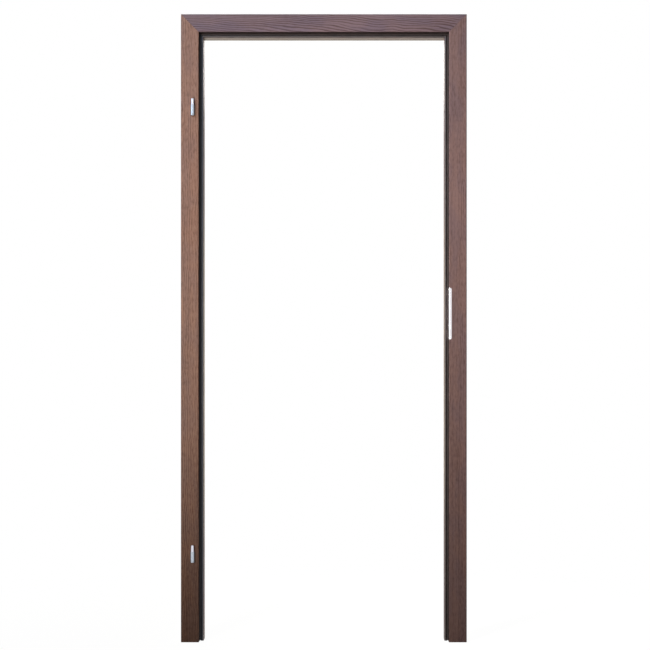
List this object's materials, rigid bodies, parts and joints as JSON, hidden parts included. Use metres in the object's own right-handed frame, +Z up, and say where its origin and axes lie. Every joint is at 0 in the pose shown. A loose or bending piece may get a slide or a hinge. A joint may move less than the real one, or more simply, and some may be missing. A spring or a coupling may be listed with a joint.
{
  "type": "wooden door frame",
  "caption": "Mitred wooden frame for a rebated door, with a seal in its rebate, pin hinges on one jamb and a strike plate on the other.",
  "frame": {"origin": "on the floor, at the middle of the width and at the middle of the overall depth with the hinges", "axes": "+X to the right seen from the side with the hinges, +Y from that side into the wall, +Z up"},
  "size_m": [0.944, 0.0908, 2.074],
  "materials": {
    "stained_oak": "satin lacquer on stained oak",
    "seal_rubber": "matt",
    "nickel": "satin nickel",
    "bright_steel": "ground and polished",
    "beech": "raw",
    "zinc": "zinc plated"
  },
  "bodies": {
    "root": {"hinge_jamb": "stained_oak", "strike_jamb": "stained_oak", "head": "stained_oak", "hinge_jamb_seal": "seal_rubber", "strike_jamb_seal": "seal_rubber", "head_seal": "seal_rubber", "upper_hinge_barrel": "nickel", "upper_hinge_studs": "nickel", "upper_hinge_pin": "nickel", "upper_hinge_sleeve": "bright_steel", "upper_hinge_cap": "nickel", "lower_hinge_barrel": "nickel", "lower_hinge_studs": "nickel", "lower_hinge_pin": "nickel", "lower_hinge_sleeve": "bright_steel", "lower_hinge_cap": "nickel", "strike_plate": "nickel", "strike_screws": "nickel", "hinge_corner_dowels": "beech", "strike_corner_dowels": "beech", "hinge_corner_screws": "zinc", "strike_corner_screws": "zinc"}
  },
  "joints": []
}
